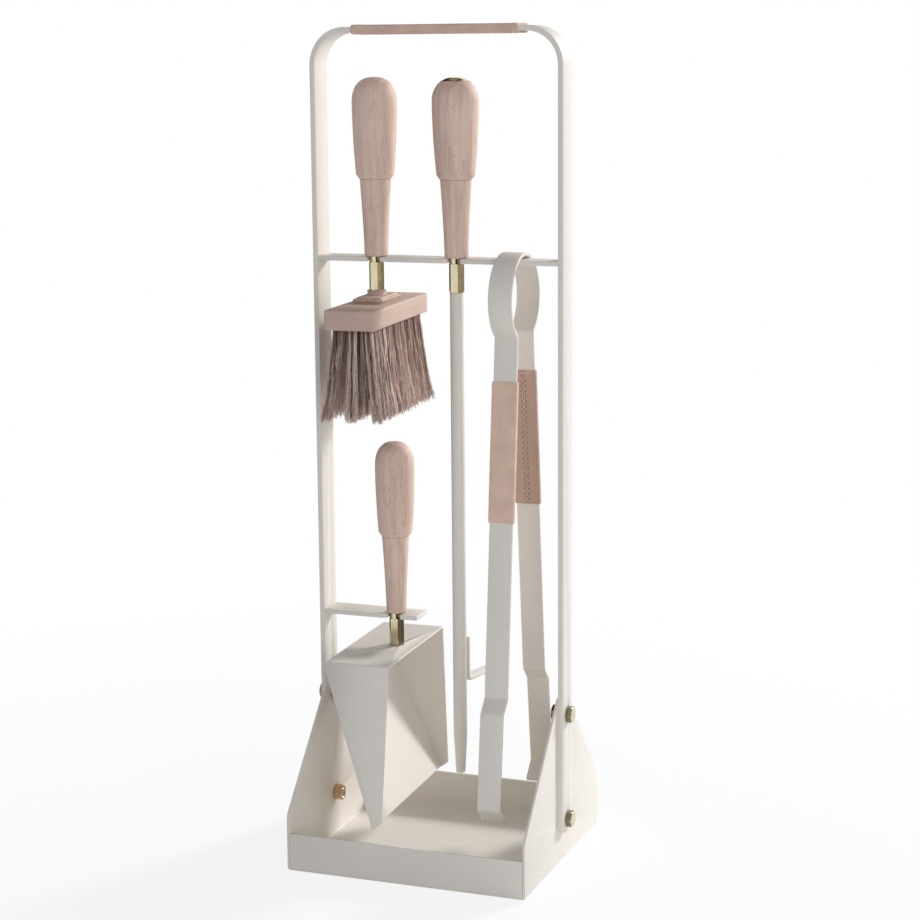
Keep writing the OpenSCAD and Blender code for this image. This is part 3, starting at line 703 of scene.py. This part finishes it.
# tone of the hairs, 0 dark to 1 pale: its middle, its spread by tuft, strand and hair, and the painted shade on the
# hairs inside each tuft, on the middle column of tufts and towards the roots, with paler tips
hairTone = {
    "middle": 0.63, "byTuft": 0.07, "byStrand": 0.33, "byHair": 0.13, "inside": 0.34, "middleTuftShade": 0.12, "tip": 0.42,
}
# outline of the plinth: how far each level lies inside its full size, and its height on the block
plinthLevels = (
    (0.0016, -0.002), (0.0016, 0), (0.0015, 0.0004), (0.0011, 0.0011), (0.0004, 0.0017), (0, 0.0024), (0, 0.0033),
    (0.00025, 0.0038), (0.0007, 0.004), (0.0019, 0.00405), (0.0022, 0.00425), (0.0024, 0.0049), (0.0028, 0.0053),
    (0.0036, 0.0054),
)


def brushPlace(z):
    place = axisOf("brush_ferrule")[1]
    place.translation.z = z
    return place @ spin(radians(brush["turn"]), 4, "Z")


# Block with rounded edges, its soft moulded plinth and the waisted collar
def makeBlock():
    low, top = (end[2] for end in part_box("brush_block"))
    halfX, halfY, tall, edge = brush["width"] / 2, brush["length"] / 2, brush["height"], brush["edge"]
    rings = []
    for base, way in ((0.0, 1), (tall, -1)):
        part = []
        for i in range(7):
            a = quarter * i / 6
            inset = edge * (1 - sin(a))
            z = base + way * edge * (1 - cos(a))
            part.append(atHeight(roundedBox(halfX - inset, halfY - inset, max(edge - inset, 0.0004)), z))
        rings += part[::way]
    shape = skinned(rings)
    plinthX, plinthY = brush["plinth"]
    corner = brush["plinthCorner"]
    outlines = [(roundedBox(plinthX - inset, plinthY - inset, corner), z) for inset, z in plinthLevels]
    shape.skin([atHeight(outline, tall + z) for outline, z in outlines])
    foot, wide, neck, bead = tall + plinthLevels[-1][1], brush["collarFoot"], brush["collarNeck"], brush["collarBead"]
    end = top - low
    rise = end - foot
    collar = [(0, foot - 0.001), (wide, foot - 0.001), (wide, foot + 0.0002)]
    for i in range(1, 8):
        a = quarter * i / 7
        collar.append((wide - (wide - neck) * sin(a), foot + 0.0002 + rise * 0.62 * (1 - cos(a))))
    collar += [(bead, end - rise * 0.26), (bead, end - rise * 0.12), (bead - 0.0003, end), (0, end)]
    shape.add(turned(collar, 72))
    fit(makePiece("brushBlock", shape, beech["block"]), "brush", "pale_beech", "brush_block", place=brushPlace(low))


makeBlock()


# Point on a strand or hair at the share u of its length, swaying in two slow waves
def sway(u, amount, phases):
    a, b, c, d = phases
    dx = sin(a + (6 + b) * u) + 0.5 * sin(c + 17 * u)
    dy = cos(c + (5 + d) * u) + 0.5 * sin(a + 15 * u)
    return Vector((dx, dy, 0)) * amount * min(1, u * 3) ** 1.5


# Tufts of strands that fan out and cross one another towards their ragged ends
def makeBristles():
    dice = random.Random(brush["seed"])
    low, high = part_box("brush_bristles")
    drop = high[2] - low[2]
    shape, tones = Shape(), []
    radius, fan, inset = brush["tuftRadius"], brush["tuftFan"], brush["rootInset"]
    rootX, rootY = brush["width"] / 2 - inset - radius, brush["length"] / 2 - inset - radius
    levels = (0.0, 0.1, 0.22, 0.35, 0.48, 0.61, 0.74, 0.87, 1.0)
    rows, columns = brush["rows"], brush["columns"]
    splayX, splayY = brush["splay"]
    strands = brush["strands"] // 1

    def inCircle(size):
        a = dice.uniform(0, 2 * pi)
        return polar(size * sqrt(dice.random()), a)

    def phases():
        return [dice.uniform(0, most) for most in (6.28, 5, 6.28, 5)]

    def addHair(start, end, tone, wave, h):
        reach = drop + brush["hairBeyond"] - dice.random() ** 2 * brush["raggedEnd"] - brush["hairStep"] * (h % 3)
        own = phases()
        tone += dice.gauss(0, hairTone["byHair"])
        size = brush["hairRadius"] * dice.uniform(*brush["hairSizes"])
        rings = []
        for u in levels:
            centre = start.lerp(end, u**1.25)
            centre += sway(u, brush["strandWave"], wave) + sway(u, brush["hairWave"], own)
            centre.z = 0.001 - u * (reach + 0.001)
            here = size * (1 - brush["hairTaper"] * u)
            rings.append([centre + polar(here, own[0] + a) for a in around(3)])
            # painted shade towards the roots of the hairs, and paler tips
            tones.extend([min(1, max(0, tone + hairTone["tip"] * (min(u, 0.75) - 0.45)))] * 3)
        shape.skin(rings)

    for row in range(rows):
        for column in range(columns):
            middle = Vector((rootX * (2 * column / (columns - 1) - 1), rootY * (2 * row / (rows - 1) - 1), 0))
            spreadOut = Vector((middle.x * splayX, middle.y * splayY, 0))
            # painted shade on the middle column of tufts
            tuftTone = dice.gauss(0, hairTone["byTuft"]) - (hairTone["middleTuftShade"] if column == 1 else 0)
            for k in range(strands):
                out = inCircle(1.0)
                # painted shade on the hairs inside each tuft
                depth = hairTone["inside"] * (out.length - 0.72)
                root = middle + out * radius * 0.9
                tip = spreadOut + out * fan * 0.75 + inCircle(fan * 0.35)
                tone, wave = tuftTone + depth + dice.gauss(0, hairTone["byStrand"]), phases()
                thick = dice.uniform(0.5, 1.0)
                for h in range(brush["hairsPerStrand"]):
                    start = root + inCircle(radius * 0.1)
                    end = tip + inCircle(0.0008 * thick + 0.0003)
                    addHair(start, end, hairTone["middle"] + tone, wave, h)
    piece = makePiece("brushBristles", shape, hair, 180.0)
    piece.data.flip_normals()
    carry(piece, "tone", "POINT", tones)
    fit(piece, "brush", "horsehair", "brush_bristles", place=brushPlace(high[2]))


makeBristles()
print("stage: brush made")

# each sheet or strip: its solid, its body, and the width of its rounded edges
sheetWork = {
    "tray": ("base_tray", "stand", 0.0004),
    "frameStrip": ("frame_strip", "stand", 0.0004),
    "crossbarStrip": ("crossbar", "stand", 0.0005),
    "dustpanBracket": ("pan_bracket", "stand", 0.0005),
    "dustpanShell": ("pan_shell", "dustpan", 0.0003),
    "pokerHook": ("poker_hook", "poker", 0.0005),
    "pokerTube": ("poker_tube", "poker", 0.0004),
}


# Copy of a solid with its sharp edges rounded
def soften(name, solid, body, edge):
    mesh = nodes[solid].data.copy()
    coat(mesh, paint)
    piece = addObject(name, mesh)
    piece.matrix_world = nodes[solid].matrix_world.copy()
    steps = {
        "WELD": {"merge_threshold": 0.00001},
        "DECIMATE": {"decimate_type": "DISSOLVE", "angle_limit": radians(0.5)},
        "BEVEL": {"width": edge, "segments": 2, "limit_method": "ANGLE", "angle_limit": radians(38)},
    }
    for kind, settings in steps.items():
        step = piece.modifiers.new(kind.lower(), kind)
        for key, value in settings.items():
            setattr(step, key, value)
    baked = bpy.data.meshes.new_from_object(piece.evaluated_get(bpy.context.evaluated_depsgraph_get()))
    piece.modifiers.clear()
    piece.data = baked
    baked.shade_smooth()
    baked.set_sharp_from_angle(angle=radians(50))
    fit(piece, body, "ivory_paint", solid)


for name, values in sheetWork.items():
    soften(name, *values)
print("stage: sheet metal softened")

# lengths along Y and heights, from the middle of the strip
tongs = {
    "right": 0.066,
    "width": 0.0206, "thick": 0.003, "edge": 0.0007,
    "bowRadius": 0.0368, "bowHeight": 0.49408,
    "pinch": (0.0201, 0.46325), "pinchBend": 0.002,
    "kink": ((0.0505, 0.157), (0.0615, 0.146), (0.0715, 0.065), (0.0575, 0.0505)),
    "bends": (0.005, 0.005, 0.004),
    "hinge": (0.066, 0.01921, 0.45698),
    "bendUp": 0.0045, "bendDown": 0.012,
    "pieceLength": 0.004,
}


# Strip along a path of Y and Z, with rounded long edges and softened ends
def strip(path, width, thick, edge):
    ways = [(Vector(end) - Vector(start)).normalized() for start, end in zip(path, path[1:])]
    rings = []
    for here, before, after in zip(map(Vector, path), ways[:1] + ways, ways + ways[-1:]):
        along = (before + after).normalized()
        side = Vector((-along.y, along.x))
        side /= side.dot(Vector((-after.y, after.x)))
        rings.append((here, side))

    def section(here, side, inset):
        outline = roundedBox(width / 2 - inset, thick / 2 - inset, max(edge - inset, 0.0001), 3)
        return [Vector((px, here.x + side.x * py, here.y + side.y * py)) for px, py in outline]

    made = [section(here, side, 0.0) for here, side in rings]
    for place, other in ((0, 1), (-1, -2)):
        if path[place][0] == 0:  # the two halves meet there
            continue
        inward = (Vector(path[other]) - Vector(path[place])).normalized() * edge * 0.7
        here, side = rings[place]
        made[place] = section(here + inward, side, 0.0)
        cap = [section(here + inward * 0.3, side, edge * 0.3), section(here, side, edge * 0.9)]
        made = made + cap if place else cap[::-1] + made
    return skinned(made)


def makeTongs(name, body, way, *stands):
    radius, middle = tongs["bowRadius"], tongs["bowHeight"]
    pinchY, pinchZ = tongs["pinch"]
    first = asin((pinchZ - middle) / radius)
    steps = 40
    turns = [quarter + (first - quarter) * i / steps for i in range(steps)]
    path = [(radius * cos(a), middle + radius * sin(a)) for a in turns]
    path[0] = (0.0, middle + radius)
    path += [(pinchY, pinchZ), *tongs["kink"]]
    corners = {steps: tongs["pinchBend"]}
    corners.update({steps + 1 + i: r for i, r in enumerate(tongs["bends"])})
    path = roundedPath(path, corners, 8)
    # extra points along the straight arm, so that it bends smoothly at the pinch
    dense = [path[0]]
    for point in path[1:]:
        start = Vector(dense[-1])
        pieces = max(1, int((Vector(point) - start).length / tongs["pieceLength"]))
        dense += [tuple(start.lerp(Vector(point), k / pieces)) for k in range(1, pieces + 1)]
    shape = strip(dense, tongs["width"], tongs["thick"], tongs["edge"])
    shape.points = [Vector((p.x * way + tongs["right"], p.y * way, p.z)) for p in shape.points]
    piece = makePiece(name, shape, paint)
    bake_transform(piece)
    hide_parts(*stands)


makeTongs("tongsFrontHalf", "tongs_front", -1, "tongs_bow", "tongs_front_arm")
makeTongs("tongsRearHalf", "tongs_rear", 1, "tongs_rear_arm")
print("stage: tongs bent")

leather = {
    "sleeveThick": 0.0011,
    "rearSleeve": (0.3106, 0.119), "frontSleeve": (0.307, 0.1185),
    "hemFrom": 0.0017, "hemWide": 0.0006, "hemDeep": 0.0003,
    "endRound": 0.0008, "endDeep": 0.00035,
    "corner": 0.0008,
    "gripThick": 0.0016, "gripLength": 0.148,
    "stripWidth": 0.026, "stripThick": 0.0045,
    "rowStep": 0.0006,
    "pitch": 0.0046,
    "holeSide": 0.0017, "holeWide": 0.0009, "holeDeep": 0.0009,
    "jointStain": 0.5,
    "seamWidth": 0.0009, "seamReach": 0.0034, "lip": 0.00016,
    "ripples": ((0.00007, 60, 90), (0.00005, 145, 260)),
    "threadRadius": 0.00044,
    "bandRadius": 0.00045, "bandPlaces": (0.0017, 0.004),
    "threadDip": 0.0008, "threadRise": {"sleeve": 0.0006, "grip": 0.00015},
}


def leatherOutline(width, thick, cover, grow=0.0):
    corner = leather["corner"] + cover * 0.3 + grow
    return roundedBox(width / 2 + cover + grow, thick / 2 + cover + grow, corner, 6)


# Outline of the leather, with extra points along its flats and the dip of the joint in the middle of -Y
def leatherSection(width, thick, cover):
    outline = leatherOutline(width, thick, cover)
    points = []
    for i, point in enumerate(outline):
        after = outline[(i + 1) % len(outline)]
        steps = 12 if dist(point, after) > 0.004 else 1
        points += [tuple(a + (b - a) * k / steps for a, b in zip(point, after)) for k in range(steps)]
    low = -(thick / 2 + cover)

    def onSeamSide(point, reach):
        return abs(point[1] - low) < 1e-6 and abs(point[0]) < reach

    middle = min((i for i, p in enumerate(points) if onSeamSide(p, width)), key=lambda i: abs(points[i][0]))
    seam, reach, lip = leather["seamWidth"], leather["seamReach"], leather["lip"]
    dip = [(-0.0026, 0), (-0.0017, 0), (-0.001, -0.0001), (-seam * 0.55, -lip), (-seam * 0.28, lip)]
    dip += [(0, cover * 0.3)] + [(-a, b) for a, b in reversed(dip)]
    before = [p for p in points[:middle] if not onSeamSide(p, reach)]
    after = [p for p in points[middle + 1 :] if not onSeamSide(p, reach)]
    return before + [(a, low + b) for a, b in dip] + after


# Leather closed around a strip, its edges drawn together along the middle of -Y; Z runs along the strip
def makeLeatherTube(name, key, width, thick, cover, length, seed):
    dice = random.Random(seed)
    halfX, halfY = width / 2 + cover, thick / 2 + cover
    section = leatherSection(width, thick, cover)
    rows = max(8, int(length / leather["rowStep"]))
    phases = [dice.uniform(0, 6.28) for _ in leather["ripples"]]
    pitch, hem = leather["pitch"], leather["hemFrom"]
    rings, holeShadeAndStain = [], []
    for i in range(rows + 1):
        z = length * i / rows
        end = min(z, length - z)
        tuck = leather["endDeep"] * max(0, 1 - end / leather["endRound"])
        tuck += leather["hemDeep"] * max(0, 1 - abs(end - hem) / leather["hemWide"])
        pull = 0.5 + 0.5 * cos(2 * pi * (z - pitch) / pitch)
        ring = []
        for px, py in section:
            lift = 0.0
            for (high, along, across), phase in zip(leather["ripples"], phases):
                lift += high * sin(along * z + phase + px * across) * (abs(px) < halfX - 0.002)
            closeness = max(0.0, 1 - abs(abs(px) - leather["holeSide"]) / leather["holeWide"])
            hole = closeness * pull**3 if py < -halfY * 0.8 else 0.0
            # painted shade in the stitch holes, and a dark stain along the joint
            holeShadeAndStain.append(max(hole, leather["jointStain"] * (px == 0 and py < 0)))
            outward = 1 if py > 0 else -1
            y = py + outward * (lift - leather["holeDeep"] * hole - tuck * (abs(py) > halfY * 0.9))
            x = px - copysign(tuck, px) * (abs(px) > halfX * 0.97)
            ring.append(Vector((x, y, z)))
        rings.append(ring)
    piece = makePiece(name, skinned(rings), leathers[key])
    carry(piece, "holeShadeAndStain", "POINT", holeShadeAndStain)
    return piece


# Crossed stitches over the joint, each thread dipping into its holes
def stitchShape(thick, cover, length, rise):
    shape, deep = Shape(), Vector((0, 1, 0))
    pitch, side, radius = leather["pitch"], leather["holeSide"], leather["threadRadius"]
    surface = -(thick / 2 + cover)
    for i in range(int((length - pitch) / pitch)):
        for way in (-1, 1):
            rings = []
            lift = rise * (0.5 if way > 0 else 1.0)
            across = Vector((way * 2 * side, 0, pitch)).normalized().cross(deep).normalized()
            for k in range(9):
                u = k / 8
                y = surface - lift * sin(pi * u) ** 0.6 + leather["threadDip"] * (abs(2 * u - 1) ** 6)
                middle = Vector((way * side * (2 * u - 1), y, pitch * (i + 0.5) + pitch * u))
                rings.append([middle + across * radius * cos(a) + deep * radius * sin(a) for a in around(8)])
            shape.skin(rings)
    return shape


# Thread wound once around the leather, twice near each end
def endBands(width, thick, cover, length):
    shape, radius = Shape(), leather["bandRadius"]
    for z in leather["bandPlaces"]:
        for at in (z, length - z):
            rings = []
            for a in around(8):
                outline = leatherOutline(width, thick, cover, radius * (cos(a) - 0.3))
                rings.append(atHeight(outline, at + radius * sin(a)))
            shape.skin(rings, True)
    return shape


# Leather on its strip, with the sewing that closes it
def fitLeather(key, part, body, size, length, stitches, seed, place):
    tube = makeLeatherTube(key + part, key, *size, length, seed)
    fit(tube, body, "leather", key + "_" + part.lower(), place=place)
    fit(makePiece(key + "Thread", stitches, thread), body, "sewing_thread", key + "_thread", place=place)


def makeSleeves():
    pinchY, pinchZ = tongs["pinch"]
    kinkY, kinkZ = tongs["kink"][0]
    tilt = atan2(kinkY - pinchY, pinchZ - kinkZ)
    size = tongs["width"], tongs["thick"], leather["sleeveThick"]
    for key, side, seed in (("rear", 0, 9), ("front", pi, 10)):
        low, tall = leather[key + "Sleeve"]
        length = tall / cos(tilt)
        y = pinchY + (pinchZ - low) * tan(tilt)
        place = shift((tongs["right"], 0, 0)) @ spin(side, 4, "Z")
        place = place @ shift((0, y, low)) @ spin(tilt, 4, "X")
        stitches = stitchShape(*size[1:], length, leather["threadRise"]["sleeve"])
        fitLeather(key, "Sleeve", "tongs_" + key, size, length, stitches, seed, place)


def makeGrip():
    size, length = (leather["stripWidth"], leather["stripThick"], leather["gripThick"]), leather["gripLength"]
    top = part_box("frame_strip")[1][2] - size[1] / 2
    place = shift((-length / 2, 0, top))
    place = place @ spin(quarter, 4, "Z") @ spin(quarter, 4, "X")
    stitches = stitchShape(*size[1:], length, leather["threadRise"]["grip"])
    stitches.add(endBands(*size, length))
    fitLeather("grip", "Leather", "stand", size, length, stitches, 11, place)


makeSleeves()
makeGrip()
print("stage: leather sewn")

for name in ("brush_rod", "pan_rod", "pan_nut", "poker_air_pipe"):
    coat(nodes[name].data, steel)

# angles in degrees, from the front; distances in metres; lens in millimetres
camera = {"azimuth": 20.528, "elevation": 10.392, "roll": -0.467, "distance": 1.9386, "lens": 87.9}
camera["target"] = (0.0158, 0.0, 0.352)


def makeCamera():
    turn, lift, roll = (radians(camera[k]) for k in ("azimuth", "elevation", "roll"))
    back = Vector((sin(turn) * cos(lift), -cos(turn) * cos(lift), sin(lift)))
    right = Vector((cos(turn), sin(turn), 0))
    up = back.cross(right)
    right, up = right * cos(roll) + up * sin(roll), up * cos(roll) - right * sin(roll)
    data = bpy.data.cameras.new("camera")
    data.lens = camera["lens"]
    data.clip_end = 50
    made = addObject("camera", data)
    place = shift(Vector(camera["target"]) + back * camera["distance"])
    made.matrix_world = place @ Matrix((right, up, back)).transposed().to_4x4()
    bpy.context.scene.camera = made


# azimuth runs from the front towards the right, in degrees; distances in metres, power in watts
studio = {
    "key": {
        "azimuth": 148.0, "height": 1.95, "distance": 3.5, "size": 0.7, "power": 46.0,
        "aim": (-0.45, 0.0, -0.45), "spread": 110.0,
    },
    "fill": {
        "azimuth": 44.0, "height": 1.0, "distance": 4.0, "size": 2.0, "power": 32.0,
        "aim": (0.0, 0.0, 0.3), "spread": 180.0,
    },
    "worldLevel": 0.394, "worldTint": (0.955, 0.985, 1.055, 1),
    "floorSize": 12.0, "floorColour": (0.95, 0.95, 0.95, 1),
    "floorNear": 0.3, "floorFar": 0.95, "floorGlow": 0.82,
    "cardColour": (1.0, 0.95, 0.88, 1), "cardRadius": 0.5, "cardHeight": 1.1,
    "cards": {"frontCard": (2.0, 74.0, 0.0), "rightCard": (74.0, 128.0, 0.16), "leftCard": (206.0, 300.0, 0.03)},
    "ceiling": {"height": 1.7, "size": 2.4, "level": 0.05},
}


def makeLamp(name):
    values = studio[name]
    turn = radians(values["azimuth"])
    lamp = bpy.data.lights.new(name, "AREA")
    lamp.size = values["size"]
    lamp.energy = values["power"]
    lamp.spread = radians(values["spread"])
    made = addObject(name, lamp)
    made.location = (sin(turn) * values["distance"], -cos(turn) * values["distance"], values["height"])
    away = made.location - Vector(values["aim"])
    made.rotation_euler = away.to_track_quat("Z", "Y").to_euler()


# 1 for the rays that see the backdrop, 0 for those that light the object
def seenRays(tree):
    path = node(tree, "LightPath").outputs
    seen = calc(tree, "MAXIMUM", path["Is Camera Ray"], path["Is Glossy Ray"])
    return calc(tree, "MAXIMUM", seen, path["Is Transmission Ray"])


def makeWorld():
    world = bpy.data.worlds.new("studio")
    bpy.context.scene.world = world
    world.use_nodes = True
    tree = world.node_tree
    seen = seenRays(tree)
    sky = tree.nodes["Background"].inputs
    tree.links.new(spread(tree, seen, 0.0, 1.0, studio["worldLevel"], 1.0), sky["Strength"])
    # the soft light is a little cool, while the backdrop itself is white
    tree.links.new(mixColour(tree, seen, studio["worldTint"], (1, 1, 1, 1)), sky["Color"])


# Object of the stage in a material of its own, made by the function given
def addStage(name, points, faces, build):
    look, tree, _ = newMaterial(name)
    tree.nodes.clear()
    node(tree, "OutputMaterial", {"Surface": build(tree).outputs[0]})
    mesh = bpy.data.meshes.new(name)
    mesh.from_pydata(points, [], faces)
    mesh.materials.append(look)
    made = addObject(name, mesh)
    return made


def squarePoints(size, z=0.0):
    half = size / 2
    return [(-half, -half, z), (half, -half, z), (half, half, z), (-half, half, z)]


# White floor that keeps a soft shadow near the stand and runs out into plain white
def floorLook(tree):
    diffuse = node(tree, "BsdfDiffuse", {"Color": studio["floorColour"]})
    glow = node(tree, "Emission", {"Color": (1, 1, 1, 1), "Strength": 1.0})
    reach = node(tree, "VectorMath", {0: localPlace(tree)}, operation="LENGTH").outputs["Value"]
    share = spread(tree, reach, studio["floorNear"], studio["floorFar"], studio["floorGlow"], 1.0)
    share = times(tree, seenRays(tree), share)
    return node(tree, "MixShader", {0: share, 1: diffuse.outputs[0], 2: glow.outputs[0]})


# Card that only reflections see, so that the brass has something to show beside the white
def addCard(name, points, faces, level):
    sockets = {"Color": studio["cardColour"], "Strength": level}
    card = addStage(name, points, faces, lambda tree: node(tree, "Emission", sockets))
    card.visible_camera = card.visible_diffuse = card.visible_shadow = False


def makeStage():
    addStage("floor", squarePoints(studio["floorSize"]), [(0, 1, 2, 3)], floorLook)
    radius, tall = studio["cardRadius"], studio["cardHeight"]
    for name, (start, end, level) in studio["cards"].items():
        steps = max(2, round((end - start) / 6))
        turns = [radians(start + (end - start) * i / steps) for i in range(steps + 1)]
        points = [(radius * sin(a), -radius * cos(a), z) for a in turns for z in (0.002, tall)]
        addCard(name, points, [(2 * i, 2 * i + 1, 2 * i + 3, 2 * i + 2) for i in range(steps)], level)
    ceiling = studio["ceiling"]
    addCard("ceilingCard", squarePoints(ceiling["size"], ceiling["height"]), [(0, 1, 2, 3)], ceiling["level"])


makeCamera()
makeLamp("key")
makeLamp("fill")
makeWorld()
makeStage()
bpy.context.scene.view_settings.view_transform = "Standard"
print("stage: studio lit")
